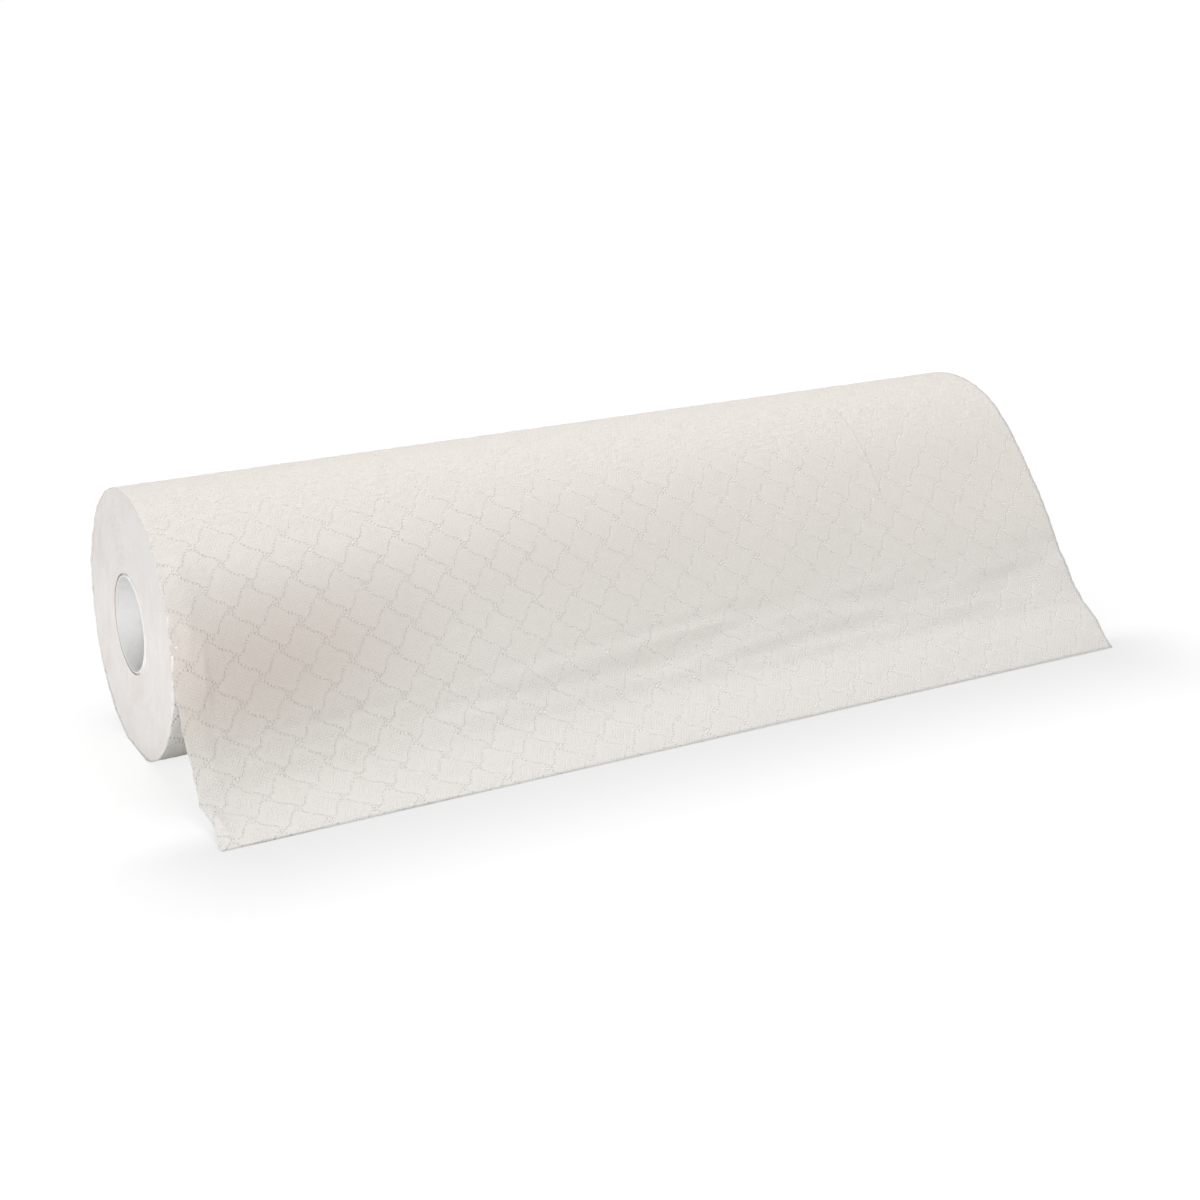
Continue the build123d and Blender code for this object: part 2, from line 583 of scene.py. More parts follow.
def build_sheet(settings):
    """Make the last turn and the free end as one thin sheet, and give it with its length."""
    points, normals, x, up = sheet_surface(settings)
    rows, columns = up.shape
    outer = points + normals * sheet_relief(x, up)[..., None]
    outer[..., 0] += edge_shift(x, up)
    inner = outer - normals * settings.sheet_thickness / MM
    vertices = np.concatenate([outer.reshape(-1, 3), inner.reshape(-1, 3)])
    vertices[:, 2] = np.maximum(vertices[:, 2], 0.0)
    total = rows * columns
    faces = grid_faces(rows, columns)
    faces += grid_faces(rows, columns, first=total, flip=True)
    rim = grid_rim(rows, columns)
    for a, b in zip(rim, rim[1:] + rim[:1]):
        faces.append([a, b, b + total, a + total])
    materials = [tissue_material(settings)]
    piece = new_piece("free_sheet", vertices, faces, materials, "paper_web")
    paper = np.concatenate([np.stack([x, up], axis=-1).reshape(-1, 2)] * 2) * MM
    layer = piece.data.uv_layers.new(name="paper")
    loops = np.empty(len(piece.data.loops), int)
    piece.data.loops.foreach_get("vertex_index", loops)
    layer.data.foreach_set("uv", paper[loops].ravel())
    return piece, float((up[-1] - up[0]).mean())


def outline_radius(turn, radius):
    """Give the distance from the axis to a round outline that is cut flat at the bottom."""
    down = -np.cos(turn)
    low = 0.2
    flat = (AXIS_HEIGHT - (ROLL_RADIUS - radius)) / np.maximum(down, low)
    return np.minimum(radius, np.where(down > low, flat, np.inf))


def build_turns(settings):
    """Make the wound turns: both cut ends, the skin under the last turn and the wall of the hole."""
    around = 288
    across = 54
    turn = np.linspace(0, 2 * math.pi, around, endpoint=False)[None, :]
    share = np.linspace(0, 1, across)[:, None]
    # The skin follows the last turn down its front
    peel = math.radians(PEEL_ANGLE)
    passed = np.clip((FLAT_ANGLE - turn) / (FLAT_ANGLE - peel), 0, 1)
    sunk = np.where(turn > peel, TURN_STEP * passed, 0)
    skin = outline_radius(turn, ROLL_RADIUS - SKIN_DEPTH - sunk)
    radius = CORE_RADIUS + share * (skin - CORE_RADIUS)
    y = -np.sin(turn) * radius
    z = AXIS_HEIGHT + np.cos(turn) * radius
    wound = radius - turn / (2 * math.pi) * RING_GROWTH
    vertices = []
    for side in (-1, 1):
        sink = RING_DEPTH * soft_noise(wound, np.zeros_like(wound), (2.1, 1, 7 + side))
        sink += WAVE_DEPTH * soft_noise(y, z, (26, 26, 3 + side))
        sink += DENT_DEPTH * soft_noise(y, z, (6, 11, 5 + side))
        sink += RIM_DEPTH * bell(share, 1.0, 0.02)
        sink = np.clip(sink + MEAN_SINK, *SINK_RANGE)
        vertices.append(np.stack([side * (HALF_WIDTH - sink), y, z], axis=-1).reshape(-1, 3))
    vertices = np.concatenate(vertices)
    total = around * across
    faces, marks = [], []
    for first, flip in ((0, False), (total, True)):
        for r in range(across - 1):
            for c in range(around):
                d = (c + 1) % around
                quad = [r * around + c, r * around + d, (r + 1) * around + d, (r + 1) * around + c]
                quad = [first + q for q in quad]
                faces.append(quad[::-1] if flip else quad)
                marks.append(0)
    for ring, flip in ((0, True), (across - 1, False)):
        for c in range(around):
            d = (c + 1) % around
            a, b = ring * around + c, ring * around + d
            quad = [a, b, b + total, a + total]
            faces.append(quad[::-1] if flip else quad)
            marks.append(1)
    materials = [cut_material(settings), tissue_material(settings)]
    piece = new_piece("wound_turns", vertices, faces, materials, "paper_web")
    piece.data.polygons.foreach_set("material_index", marks)
    piece.data.set_sharp_from_angle(angle=math.radians(40))
    return piece


# Shader parts


class NodeSums:
    """Places math nodes in one node tree."""

    def __init__(self, tree):
        self.tree = tree

    def __call__(self, operation, *values, clamp=False):
        node = self.tree.nodes.new("ShaderNodeMath")
        node.operation = operation
        node.use_clamp = clamp
        for socket, value in zip(node.inputs, values):
            set_input(self.tree, socket, value)
        return node.outputs[0]

    def curve(self, value, shares, heights):
        """Read a smooth curve that is given by points from 0 to 1."""
        node = self.tree.nodes.new("ShaderNodeFloatCurve")
        points = node.mapping.curves[0].points
        points[0].location = (shares[0], heights[0])
        points[1].location = (shares[-1], heights[-1])
        for share, height in zip(shares[1:-1], heights[1:-1]):
            points.new(share, height)
        node.mapping.update()
        self.tree.links.new(value, node.inputs["Value"])
        return node.outputs[0]

    def squares(self, first, second):
        """Add the squares of two values."""
        return self("MULTIPLY_ADD", first, first, self("MULTIPLY", second, second))

    def step(self, value, start, end):
        """Go smoothly from 0 at the start to 1 at the end."""
        node = self.tree.nodes.new("ShaderNodeMapRange")
        node.interpolation_type = "SMOOTHSTEP"
        self.tree.links.new(value, node.inputs["Value"])
        node.inputs["From Min"].default_value = start
        node.inputs["From Max"].default_value = end
        return node.outputs["Result"]

    def dot(self, reach, start, end):
        """Give 1 in the middle of a dot, falling smoothly to 0 from the start to the end."""
        return self("SUBTRACT", 1.0, self.step(reach, start, end))


def set_input(tree, socket, value):
    """Link another node's output to an input, or set the input's plain value."""
    if isinstance(value, bpy.types.NodeSocket):
        tree.links.new(value, socket)
    else:
        socket.default_value = value


def new_group(name, inputs, outputs):
    """Make a shader node group with number sockets, and give it with its two end nodes."""
    tree = bpy.data.node_groups.new(name, "ShaderNodeTree")
    for socket in inputs:
        tree.interface.new_socket(socket, in_out="INPUT", socket_type="NodeSocketFloat")
    for socket in outputs:
        tree.interface.new_socket(socket, in_out="OUTPUT", socket_type="NodeSocketFloat")
    start = tree.nodes.new("NodeGroupInput")
    end = tree.nodes.new("NodeGroupOutput")
    return tree, start, end


def use_group(tree, group, **values):
    """Place a node group in a tree and join its inputs."""
    node = tree.nodes.new("ShaderNodeGroup")
    node.node_tree = group
    for name, value in values.items():
        set_input(tree, node.inputs[name], value)
    return node


def split_axes(tree, vector):
    """Give the X, Y and Z outputs of a vector."""
    node = tree.nodes.new("ShaderNodeSeparateXYZ")
    tree.links.new(vector, node.inputs[0])
    return node.outputs["X"], node.outputs["Y"], node.outputs["Z"]


def join_axes(tree, *values):
    """Give the vector with these parts along X, Y and Z."""
    node = tree.nodes.new("ShaderNodeCombineXYZ")
    for socket, value in zip(node.inputs, values):
        tree.links.new(value, socket)
    return node.outputs[0]


def noise_value(tree, coordinates, scale, detail, roughness):
    """Place a noise texture and give its value."""
    node = tree.nodes.new("ShaderNodeTexNoise")
    node.inputs["Scale"].default_value = scale
    node.inputs["Detail"].default_value = detail
    node.inputs["Roughness"].default_value = roughness
    tree.links.new(coordinates, node.inputs["Vector"])
    return node.outputs["Fac"]


def mix_colours(tree, share, first, second, blend="MIX"):
    """Mix two colours, each a socket or three numbers."""
    node = tree.nodes.new("ShaderNodeMix")
    node.data_type = "RGBA"
    node.blend_type = blend
    tree.links.new(share, node.inputs[0])
    for socket, value in ((node.inputs[6], first), (node.inputs[7], second)):
        plain = not isinstance(value, bpy.types.NodeSocket)
        set_input(tree, socket, (*value, 1.0) if plain else value)
    return node.outputs[2]


def add_bump(tree, shader, height, distance):
    """Feed a height into the shader's normal."""
    node = tree.nodes.new("ShaderNodeBump")
    node.inputs["Strength"].default_value = 1.0
    node.inputs["Distance"].default_value = distance
    tree.links.new(height, node.inputs["Height"])
    tree.links.new(node.outputs["Normal"], shader.inputs["Normal"])


# Embossed pattern


def row_tables():
    """Give a row's shape at even steps of one period: height, count of dots passed and slope."""
    dots = np.array(ROW_DOTS)
    along = np.concatenate([dots[:, 0] - ROW_PERIOD, dots[:, 0], dots[:, 0] + ROW_PERIOD])
    up = np.tile(dots[:, 1], 3)
    count = np.arange(len(along)) - len(dots)
    steps = np.linspace(0, ROW_PERIOD, ROW_POINTS)
    height = np.interp(steps, along, up)
    passed = np.interp(steps, along, count)
    near = 0.35
    rise = np.interp(steps + near, along, up) - np.interp(steps - near, along, up)
    return steps / ROW_PERIOD, height, passed, np.arctan2(rise, 2 * near)


def embossed_row_group():
    """One embossed row: its height, the dots passed and its slope at a number of periods."""
    name = "embossed row"
    if name in bpy.data.node_groups:
        return bpy.data.node_groups[name]
    tree, start, end = new_group(name, ("Turn",), ("Height", "Dots", "Slope"))
    sums = NodeSums(tree)
    shares, heights, counts, slopes = row_tables()
    part = sums("FRACT", start.outputs["Turn"])
    whole = sums("FLOOR", start.outputs["Turn"])
    height = sums.curve(part, shares, (heights - ROW_LOWEST) / ROW_RANGE)
    height = sums("MULTIPLY_ADD", height, ROW_RANGE, ROW_LOWEST)
    passed = sums.curve(part, shares, counts / len(ROW_DOTS))
    passed = sums("MULTIPLY", sums("ADD", passed, whole), float(len(ROW_DOTS)))
    slope = sums.curve(part, shares, slopes / math.pi + 0.5)
    slope = sums("MULTIPLY", sums("SUBTRACT", slope, 0.5), math.pi)
    for socket, value in (("Height", height), ("Dots", passed), ("Slope", slope)):
        tree.links.new(value, end.inputs[socket])
    return tree


def large_dots(tree, along, up):
    """Give 1 in the large dots, which follow wavy rows and join one row to the next."""
    sums = NodeSums(tree)
    row_shape = embossed_row_group()
    turn = sums("DIVIDE", sums("SUBTRACT", along, ROW_START[0]), ROW_PERIOD)
    place = sums("DIVIDE", sums("SUBTRACT", up, ROW_START[1]), ROW_SPACING)
    row = sums("FLOOR", place)
    first = use_group(tree, row_shape, Turn=sums("MULTIPLY_ADD", row, 0.5, turn))
    lift = sums("MULTIPLY", sums("SUBTRACT", place, row), ROW_SPACING)
    row = sums("SUBTRACT", row, sums("LESS_THAN", lift, first.outputs["Height"]))
    squares = []
    # The nearest dot of the row below and of the row above
    for offset in (0.0, 1.0):
        here = sums("ADD", row, offset)
        shape = use_group(tree, row_shape, Turn=sums("MULTIPLY_ADD", here, 0.5, turn))
        lift = sums("MULTIPLY", sums("SUBTRACT", place, here), ROW_SPACING)
        lift = sums("SUBTRACT", lift, shape.outputs["Height"])
        across = sums("MULTIPLY", lift, sums("COSINE", shape.outputs["Slope"]))
        forward = sums("MULTIPLY", lift, sums("SINE", shape.outputs["Slope"]))
        passed = sums("ADD", shape.outputs["Dots"], sums("DIVIDE", forward, DOT_SPACING))
        offcentre = sums("SUBTRACT", passed, sums("ROUND", passed))
        offcentre = sums("MULTIPLY", offcentre, DOT_SPACING)
        squares.append(sums.squares(offcentre, across))
    # Two more dots just below the start of each period of the row above
    upper = sums("ADD", row, 1.0)
    shifted = sums("MULTIPLY_ADD", upper, 0.5, turn)
    beside = sums("SUBTRACT", shifted, sums("ROUND", shifted))
    beside = sums("MULTIPLY", beside, ROW_PERIOD)
    lift = sums("MULTIPLY", sums("SUBTRACT", place, upper), ROW_SPACING)
    for dot_along, dot_up in CROSSING_DOTS:
        aside = sums("SUBTRACT", beside, dot_along)
        squares.append(sums.squares(aside, sums("SUBTRACT", lift, dot_up)))
    nearest = squares[0]
    for square in squares[1:]:
        nearest = sums("MINIMUM", nearest, square)
    return sums.dot(sums("SQRT", nearest), *LARGE_DOT_EDGE)


def small_dots(tree, along, up):
    """Give 1 in the small dots, which fill each cell with a slanting, slightly bent grid."""
    sums = NodeSums(tree)
    along = sums("SUBTRACT", along, ROW_START[0] + CELL_MIDDLE[0])
    along = sums("DIVIDE", along, ROW_PERIOD)
    upward = sums("SUBTRACT", up, ROW_START[1] + CELL_MIDDLE[1])
    # Where this point lies in its cell, from the cell's middle
    rise = sums("MULTIPLY_ADD", upward, 0.5 / ROW_SPACING, along)
    fall = sums("MULTIPLY_ADD", upward, -0.5 / ROW_SPACING, along)
    rise = sums("SUBTRACT", rise, sums("ROUND", rise))
    fall = sums("SUBTRACT", fall, sums("ROUND", fall))
    along = sums("MULTIPLY", sums("ADD", rise, fall), ROW_PERIOD / 2)
    upward = sums("MULTIPLY", sums("SUBTRACT", rise, fall), ROW_SPACING)
    # The same in steps of the grid, from -1 to 1 over all its dots
    (right_along, right_up), (up_along, up_up) = CELL_STEPS
    area = (right_along * up_up - right_up * up_along) * CELL_REACH
    column = sums("MULTIPLY", along, up_up / area)
    column = sums("MULTIPLY_ADD", upward, -up_along / area, column)
    line = sums("MULTIPLY", upward, right_along / area)
    line = sums("MULTIPLY_ADD", along, -right_up / area, line)
    offcentre = []
    for (main, other), (sag, wave) in zip(((column, line), (line, column)), CELL_BENDS):
        inside = sums("SUBTRACT", 1.0, sums("MULTIPLY", other, other))
        waving = sums("MULTIPLY", sums("SUBTRACT", 1.0, main), other)
        bend = sums("MULTIPLY_ADD", waving, wave, sums("MULTIPLY_ADD", main, -sag, -sag))
        bent = sums("SUBTRACT", main, sums("MULTIPLY", inside, bend))
        bent = sums("MULTIPLY", bent, CELL_REACH)
        kept = sums("MINIMUM", sums("MAXIMUM", bent, -CELL_REACH), CELL_REACH)
        aside = sums("SUBTRACT", bent, sums("ROUND", kept))
        offcentre.append(sums("MULTIPLY", aside, SMALL_SPACING))
    return sums.dot(sums("SQRT", sums.squares(*offcentre)), *SMALL_DOT_EDGE)


def embossing_group():
    """The embossed pattern: large dots along wavy rows, and a grid of small dots in each cell."""
    name = "tissue embossing"
    if name in bpy.data.node_groups:
        return bpy.data.node_groups[name]
    tree, start, end = new_group(name, ("Along", "Up"), ("Large Dots", "Small Dots"))
    place = (start.outputs["Along"], start.outputs["Up"])
    tree.links.new(large_dots(tree, *place), end.inputs["Large Dots"])
    tree.links.new(small_dots(tree, *place), end.inputs["Small Dots"])
    return tree


def crinkle_group():
    """Fine crinkles all over the tissue, and one long crease near the right end."""
    name = "tissue crinkles"
    if name in bpy.data.node_groups:
        return bpy.data.node_groups[name]
    tree, start, end = new_group(name, ("Along", "Up"), ("Crinkles", "Crease"))
    sums = NodeSums(tree)
    along, up = start.outputs["Along"], start.outputs["Up"]
    # The crinkles are longer along the roll than up the sheet
    stretched = join_axes(tree, sums("MULTIPLY", along, 0.55), up)
    crinkles = noise_value(tree, stretched, scale=0.42, detail=2.0, roughness=0.55)
    aside = sums("ABSOLUTE", sums("SUBTRACT", along, CREASE_PLACE))
    crease = sums.dot(aside, 0.0, CREASE_REACH)
    length = sums("MULTIPLY", sums.step(up, *CREASE_START), sums.step(up, *CREASE_END))
    tree.links.new(sums("MULTIPLY", crinkles, 2.0), end.inputs["Crinkles"])
    tree.links.new(sums("MULTIPLY", crease, length), end.inputs["Crease"])
    return tree


# Materials


def new_material(name):
    """Make a material, and give it with its node tree, shader and sums."""
    material = bpy.data.materials.new(name)
    material.use_nodes = True
    tree = material.node_tree
    shader = tree.nodes["Principled BSDF"]
    return material, tree, shader, NodeSums(tree)


def tissue_material(settings):
    """Soft embossed tissue, read from the sheet's own paper coordinates."""
    name = "embossed_tissue"
    if name in bpy.data.materials:
        return bpy.data.materials[name]
    material, tree, shader, sums = new_material(name)
    uv_map = tree.nodes.new("ShaderNodeUVMap")
    uv_map.uv_map = "paper"
    paper = uv_map.outputs["UV"]
    x, y, _ = split_axes(tree, paper)
    along = sums("MULTIPLY", x, 1 / MM)
    up = sums("MULTIPLY", y, 1 / MM)
    pattern = use_group(tree, embossing_group(), Along=along, Up=up)
    crinkles = use_group(tree, crinkle_group(), Along=along, Up=up)
    fibre = noise_value(tree, paper, scale=1400.0, detail=3.0, roughness=0.6)
    cloud = noise_value(tree, paper, scale=9.0, detail=2.0, roughness=0.5)

    # On top of the roll the rows are shallower, and small dots and crinkles stand out more
    top = sums("MULTIPLY", sums.step(up, *TOP_START), sums.step(up, *TOP_END))
    tail = sums.step(up, *TAIL_END)
    rows = sums("MULTIPLY", pattern.outputs["Large Dots"], sums("MULTIPLY_ADD", top, 0.45, -1.0))
    small = sums("MULTIPLY_ADD", sums("MAXIMUM", top, tail), 0.15, 0.4)
    small = sums("MULTIPLY", pattern.outputs["Small Dots"], small)
    crinkled = sums("MULTIPLY_ADD", top, 1.1, 0.3)
    crinkled = sums("MULTIPLY", crinkles.outputs["Crinkles"], crinkled)
    deeper = sums("MULTIPLY_ADD", sums.step(along, *DEEPER_TO_LEFT), 0.3, 0.9)
    relief = sums("SUBTRACT", sums("MULTIPLY", rows, deeper), small)
    relief = sums("ADD", crinkled, relief)
    relief = sums("MULTIPLY_ADD", crinkles.outputs["Crease"], 0.9, relief)
    relief = sums("MULTIPLY_ADD", fibre, 0.15, relief)
    add_bump(tree, shader, relief, settings.dot_depth)

    # A warm tone on top, a cooler one below that is partly painted shade, and pressed dots painted
    # pale as a painted highlight
    lower = sums.dot(up, *SHADE_END)
    shade = sums("MULTIPLY_ADD", sums("SUBTRACT", cloud, 0.5), 0.8, lower, clamp=True)
    colour = mix_colours(tree, shade, settings.tissue_colour, settings.shade_colour)
    pressed = sums("MULTIPLY_ADD", rows, -1.1, sums("MULTIPLY", small, 1.5))
    colour = mix_colours(tree, pressed, colour, settings.painted_light_colour)

    # Painted shade in a cloudy patch on the left, the flecks, and painted light on the run behind
    # the free end
    aside = sums("DIVIDE", sums("SUBTRACT", along, PAINTED_SHADE_PLACE[0]), PAINTED_SHADE_REACH[0])
    above = sums("DIVIDE", sums("SUBTRACT", up, PAINTED_SHADE_PLACE[1]), PAINTED_SHADE_REACH[1])
    painted_shade_patch = sums.dot(sums("SQRT", sums.squares(aside, above)), 0.0, 1.3)
    painted_shade_patch = sums("MULTIPLY", painted_shade_patch, sums("MULTIPLY_ADD", cloud, 0.5, 0.75), clamp=True)
    colour = mix_colours(tree, painted_shade_patch, colour, settings.painted_shade_colour, "MULTIPLY")
    for (fleck_along, fleck_up), radius, fleck_colour in FLECKS:
        aside = sums("SUBTRACT", along, fleck_along)
        reach = sums("SQRT", sums.squares(aside, sums("SUBTRACT", up, fleck_up)))
        colour = mix_colours(tree, sums.step(reach, radius, radius / 2), colour, fleck_colour)
    # Painted light makes the run behind the free end pale, where it lies in shade behind the hanging
    # sheet
    behind = sums.step(up, *BEHIND_START)
    colour = mix_colours(tree, behind, colour, settings.painted_light_colour)
    tree.links.new(colour, shader.inputs["Base Color"])
    tree.links.new(sums("MULTIPLY_ADD", fibre, 0.12, 0.84), shader.inputs["Roughness"])
    shader.inputs["Specular IOR Level"].default_value = 0.25
    return material


def section_places(tree, sums, place):
    """Give X, Y, the height over the axis and the angle round it, in metres and radians."""
    x, y, z = split_axes(tree, place)
    height = sums("SUBTRACT", z, AXIS_HEIGHT * MM)
    return x, y, height, sums("ARCTAN2", y, height)


def cut_material(settings):
    """The cut turns on the ends: hundreds of fine rings with a few that stand out."""
    name = "cut_turns"
    if name in bpy.data.materials:
        return bpy.data.materials[name]
    material, tree, shader, sums = new_material(name)
    place = tree.nodes.new("ShaderNodeTexCoord").outputs["Object"]
    _, y, height, angle = section_places(tree, sums, place)
    wander = noise_value(tree, place, scale=28.0, detail=2.0, roughness=0.5)
    radius = sums("MULTIPLY", sums("SQRT", sums.squares(y, height)), 1 / MM)
    radius = sums("MULTIPLY_ADD", wander, 1.2, radius)
    wound = join_axes(tree, radius, sums("SINE", angle), sums("COSINE", angle))
    rings = noise_value(tree, wound, scale=2.6, detail=4.0, roughness=0.7)
    bands = noise_value(tree, wound, scale=0.5, detail=2.0, roughness=0.5)
    fibre = noise_value(tree, place, scale=900.0, detail=2.0, roughness=0.6)
    lumps = noise_value(tree, place, scale=320.0, detail=2.0, roughness=0.5)
    relief = sums("MULTIPLY_ADD", rings, 0.5, sums("MULTIPLY", fibre, 0.5))
    relief = sums("MULTIPLY_ADD", lumps, 0.9, relief)
    add_bump(tree, shader, relief, 0.3 * MM)

    # The ends are paler low down, painted light for the floor's bounce, darker in some rings and
    # dulled in blotches
    darker = [channel * 0.88 for channel in settings.cut_colour]
    painted_bounce_colour = [channel * 1.07 for channel in settings.cut_colour]
    low = sums.step(height, *PAINTED_BOUNCE_DOWN)
    shade = sums("MULTIPLY_ADD", rings, 0.25, sums("MULTIPLY", bands, 0.3), clamp=True)
    colour = mix_colours(tree, low, settings.cut_colour, painted_bounce_colour)
    colour = mix_colours(tree, shade, colour, darker)
    blotch = noise_value(tree, place, scale=55.0, detail=3.0, roughness=0.6)
    blotch = sums.step(blotch, 0.42, 0.7)
    colour = mix_colours(tree, blotch, colour, settings.blotch_colour, "MULTIPLY")
    tree.links.new(colour, shader.inputs["Base Color"])
    tree.links.new(sums("MULTIPLY_ADD", rings, 0.1, 0.85), shader.inputs["Roughness"])
    shader.inputs["Specular IOR Level"].default_value = 0.25
    return material


def board_material(settings):
    """Spiral-wound grey board: pale inside, brown where it is cut."""
    name = "wound_board"
    if name in bpy.data.materials:
        return bpy.data.materials[name]
    material, tree, shader, sums = new_material(name)
    place = tree.nodes.new("ShaderNodeTexCoord").outputs["Object"]
    x, y, height, angle = section_places(tree, sums, place)
    spiral = sums("ADD", sums("DIVIDE", x, SEAM_PITCH), sums("DIVIDE", angle, 2 * math.pi))
    seam = sums("ABSOLUTE", sums("SUBTRACT", sums("FRACT", spiral), 0.5))
    seam = sums.dot(seam, *SEAM_EDGE)
    fibre = noise_value(tree, place, scale=500.0, detail=4.0, roughness=0.6)
    relief = sums("MULTIPLY_ADD", seam, -0.25, sums("MULTIPLY", fibre, 0.3))
    add_bump(tree, shader, relief, 0.3 * MM)

    # On the front side the brown edge is painted over with the pale board colour as a painted
    # highlight
    reach = sums("MULTIPLY", sums("ABSOLUTE", x), 1 / MM)
    radius = sums("MULTIPLY", sums("SQRT", sums.squares(y, height)), 1 / MM)
    edge = sums.step(reach, *BOARD_EDGE_ALONG)
    edge = sums("MULTIPLY", edge, sums.step(radius, *BOARD_EDGE_ACROSS))
    painted_highlight_side = noise_value(tree, place, scale=160.0, detail=3.0, roughness=0.6)
    painted_highlight_side = sums("MULTIPLY_ADD", y, 1.0 / (CORE_RADIUS * MM), painted_highlight_side)
    painted_highlight_side = sums("MULTIPLY_ADD", height, -0.3 / (CORE_RADIUS * MM), painted_highlight_side)
    edge = sums("MULTIPLY", edge, sums.step(painted_highlight_side, 0.0, 0.7))
    darker = [channel * 0.9 for channel in settings.board_colour]
    colour = mix_colours(tree, sums("MULTIPLY", fibre, 0.8), settings.board_colour, darker)
    colour = mix_colours(tree, edge, colour, settings.board_edge_colour)
    tree.links.new(colour, shader.inputs["Base Color"])
    tree.links.new(sums("MULTIPLY_ADD", fibre, 0.15, 0.75), shader.inputs["Roughness"])
    return material


def floor_material():
    """A white floor that keeps the soft shadow of the roll and turns plain white further out."""
    material, tree, shader, sums = new_material("studio_floor")
    shader.inputs["Roughness"].default_value = 1.0
    shader.inputs["Specular IOR Level"].default_value = 0.0
    seen = tree.nodes.new("ShaderNodeLightPath").outputs["Is Camera Ray"]
    # The floor lights the roll as a pale one, and is darker to the camera under its own glow
    colour = mix_colours(tree, seen, (0.86, 0.86, 0.86), (0.22, 0.22, 0.22))
    tree.links.new(colour, shader.inputs["Base Color"])
    place = tree.nodes.new("ShaderNodeTexCoord").outputs["Object"]
    length = tree.nodes.new("ShaderNodeVectorMath")
    length.operation = "LENGTH"
    tree.links.new(place, length.inputs[0])
    far = sums.step(length.outputs["Value"], *NEAR_FLOOR_END)
    x, y, _ = split_axes(tree, place)
    ahead = sums("MULTIPLY_ADD", y, -1.0, TIP_LINE_Y)
    ahead = sums("MULTIPLY_ADD", x, TIP_LINE_SLOPE, ahead)
    shade = sums("MULTIPLY", sums.step(ahead, *FRONT_FADE), sums.step(ahead, *BACK_FADE))
    shade = sums("MULTIPLY", shade, sums.step(sums("ABSOLUTE", x), *SIDE_FADE))
    glow = sums("MULTIPLY_ADD", far, 1.0 - NEAR_FLOOR, NEAR_FLOOR)
    glow = sums("MULTIPLY_ADD", shade, -FRONT_SHADE, glow)
    shader.inputs["Emission Color"].default_value = WHITE
    tree.links.new(sums("MULTIPLY", seen, glow), shader.inputs["Emission Strength"])
    return material


# Stage


def build_floor():
    """Lay the white floor just under the table plane."""
    sides = ((-1, -1), (1, -1), (1, 1), (-1, 1))
    mesh = bpy.data.meshes.new("floor")
    mesh.from_pydata([(FLOOR_REACH * x, FLOOR_REACH * y, 0) for x, y in sides], [], [(0, 1, 2, 3)])
    mesh.materials.append(floor_material())
    floor = bpy.data.objects.new("floor", mesh)
    floor.location.z = -FLOOR_DROP
    bpy.context.scene.collection.objects.link(floor)


def build_world():
    """An even white surround: full white to the camera, a plain level of light on the roll."""
    world = bpy.data.worlds.new("studio")
    bpy.context.scene.world = world
    world.use_nodes = True
    tree = world.node_tree
    background = tree.nodes["Background"]
    background.inputs["Color"].default_value = WHITE
    seen = tree.nodes.new("ShaderNodeLightPath").outputs["Is Camera Ray"]
    strength = NodeSums(tree)("MULTIPLY_ADD", seen, 1.0 - SURROUND_LIGHT, SURROUND_LIGHT)
    tree.links.new(strength, background.inputs["Strength"])


def place_lamp(data, place, target):
    """Put a lamp in its place and turn it to the target."""
    lamp = bpy.data.objects.new(data.name, data)
    lamp.location = place
    lamp.rotation_mode = "QUATERNION"
    lamp.rotation_quaternion = (Vector(target) - Vector(place)).to_track_quat("-Z", "Y")
    bpy.context.scene.collection.objects.link(lamp)


def add_softbox(name, place, size, power):
    """Add a square area lamp that looks at the roll."""
    data = bpy.data.lights.new(name, "AREA")
    data.shape = "SQUARE"
    data.size = size
    data.energy = power
    place_lamp(data, place, SOFTBOX_TARGET)


def add_core_lamp():
    """Add a lamp with a narrow soft cone that lights the inside of the core."""
    distance = (Vector(CORE_LAMP_TARGET) - Vector(CORE_LAMP_PLACE)).length
    data = bpy.data.lights.new("core_lamp", "SPOT")
    data.energy = CORE_LAMP_POWER
    data.spot_size = 2 * math.atan(CORE_LAMP_REACH / distance)
    data.spot_blend = 0.7
    data.shadow_soft_size = 0.02
    place_lamp(data, CORE_LAMP_PLACE, CORE_LAMP_TARGET)


def add_camera():
    """Add the camera and make it the scene's own."""
    data = bpy.data.cameras.new("camera")
    data.sensor_width = CAMERA_SENSOR
    data.lens = CAMERA_LENS
    data.shift_y = CAMERA_SHIFT
    data.clip_start = 0.01
    camera = bpy.data.objects.new("camera", data)
    camera.location = CAMERA_PLACE
    camera.rotation_euler = (math.radians(90 - CAMERA_TILT), 0.0, math.radians(-CAMERA_TURN))
    bpy.context.scene.collection.objects.link(camera)
    bpy.context.scene.camera = camera


# Operators


class PAPERROLL_OT_stage(bpy.types.Operator):
    """Set up the floor, the soft lights and the camera"""

    bl_idname = "paper_roll.stage"
    bl_label = "Set Up Stage"

    def execute(self, context):
        build_floor()
        build_world()
        for softbox in SOFTBOXES:
            add_softbox(*softbox)
        add_core_lamp()
        add_camera()
        context.scene.view_settings.view_transform = "Standard"
        return {"FINISHED"}


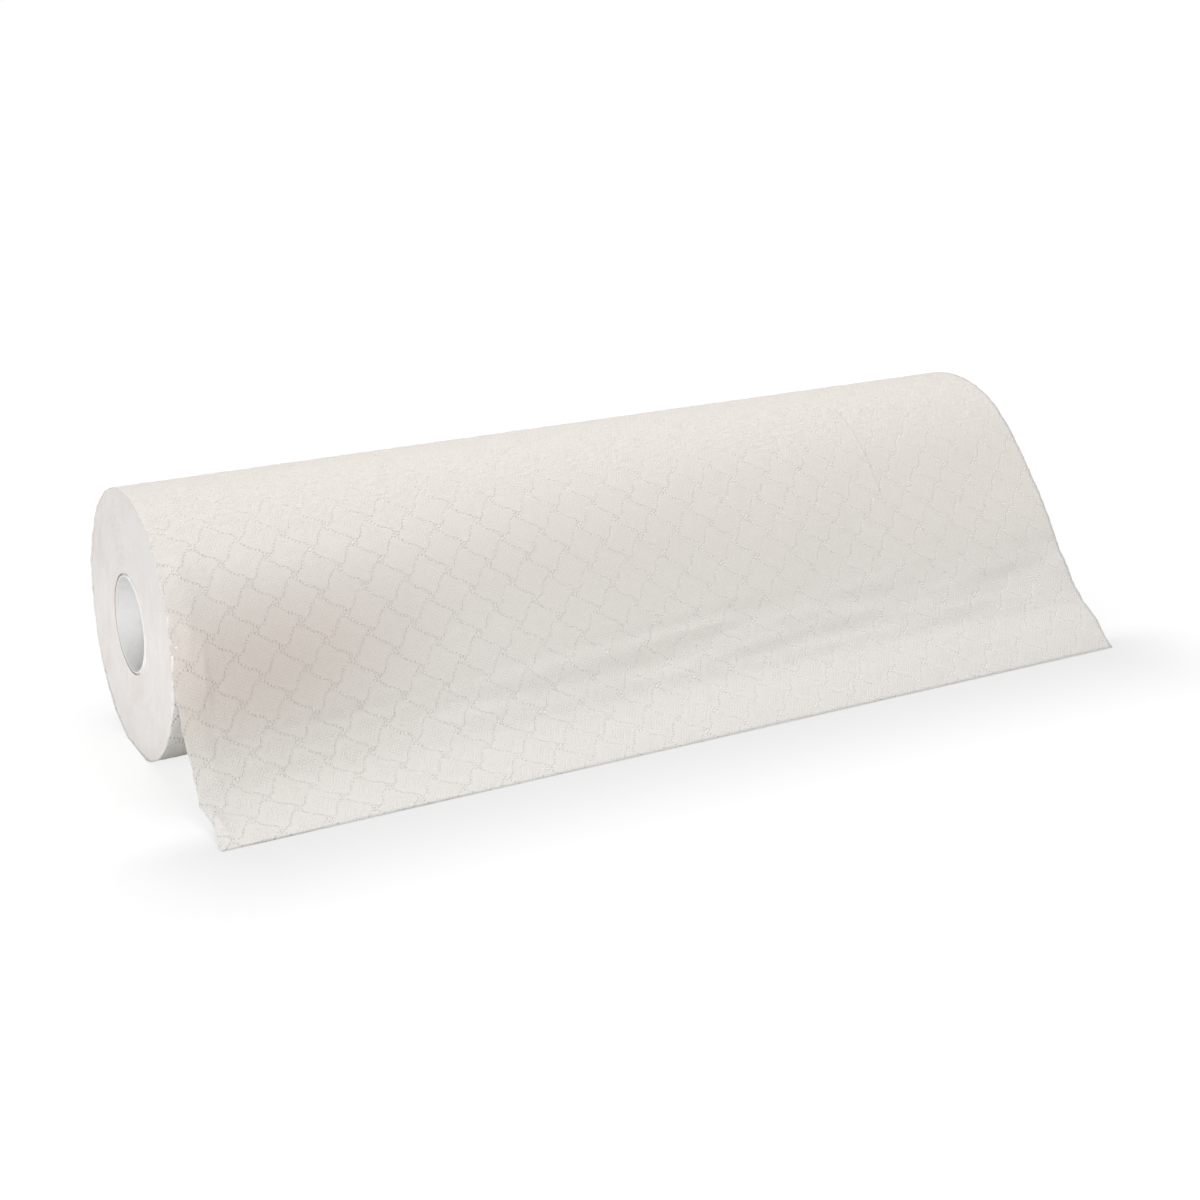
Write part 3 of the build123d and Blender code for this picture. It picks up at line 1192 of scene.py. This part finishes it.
class PAPERROLL_OT_wound_turns(bpy.types.Operator):
    """Build the wound turns and replace the plain web with them"""

    bl_idname = "paper_roll.wound_turns"
    bl_label = "Build Wound Turns"

    def execute(self, context):
        build_turns(context.scene.paper_roll)
        return {"FINISHED"}


class PAPERROLL_OT_free_sheet(bpy.types.Operator):
    """Build the last turn of the web with its free end"""

    bl_idname = "paper_roll.free_sheet"
    bl_label = "Build Free Sheet"

    def execute(self, context):
        sheet, length = build_sheet(context.scene.paper_roll)
        return {"FINISHED"}


class PAPERROLL_OT_core(bpy.types.Operator):
    """Give the cardboard core its board finish"""

    bl_idname = "paper_roll.core"
    bl_label = "Finish Core"

    def execute(self, context):
        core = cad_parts["core_tube"]
        core.data.materials.clear()
        core.data.materials.append(board_material(context.scene.paper_roll))
        return {"FINISHED"}


class PAPERROLL_PT_panel(bpy.types.Panel):
    """Lists the pieces of the paper roll"""

    bl_label = "Paper Roll"
    bl_idname = "PAPERROLL_PT_panel"
    bl_space_type = "VIEW_3D"
    bl_region_type = "UI"
    bl_category = "Paper Roll"

    def draw(self, context):
        settings = context.scene.paper_roll
        for name in PaperRollSettings.__annotations__:
            self.layout.prop(settings, name)
        for operator in OPERATORS:
            self.layout.operator(operator.bl_idname)


OPERATORS = (
    PAPERROLL_OT_stage,
    PAPERROLL_OT_wound_turns,
    PAPERROLL_OT_free_sheet,
    PAPERROLL_OT_core,
)
CLASSES = (PaperRollSettings, *OPERATORS, PAPERROLL_PT_panel)


def register():
    for item in CLASSES:
        bpy.utils.register_class(item)
    bpy.types.Scene.paper_roll = PointerProperty(type=PaperRollSettings)


def unregister():
    del bpy.types.Scene.paper_roll
    for item in reversed(CLASSES):
        bpy.utils.unregister_class(item)


def main():
    """Build the whole roll and its stage."""
    register()
    bpy.ops.paper_roll.stage()
    bpy.ops.paper_roll.wound_turns()
    bpy.ops.paper_roll.free_sheet()
    bpy.ops.paper_roll.core()
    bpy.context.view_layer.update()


if __name__ == "__main__":
    main()
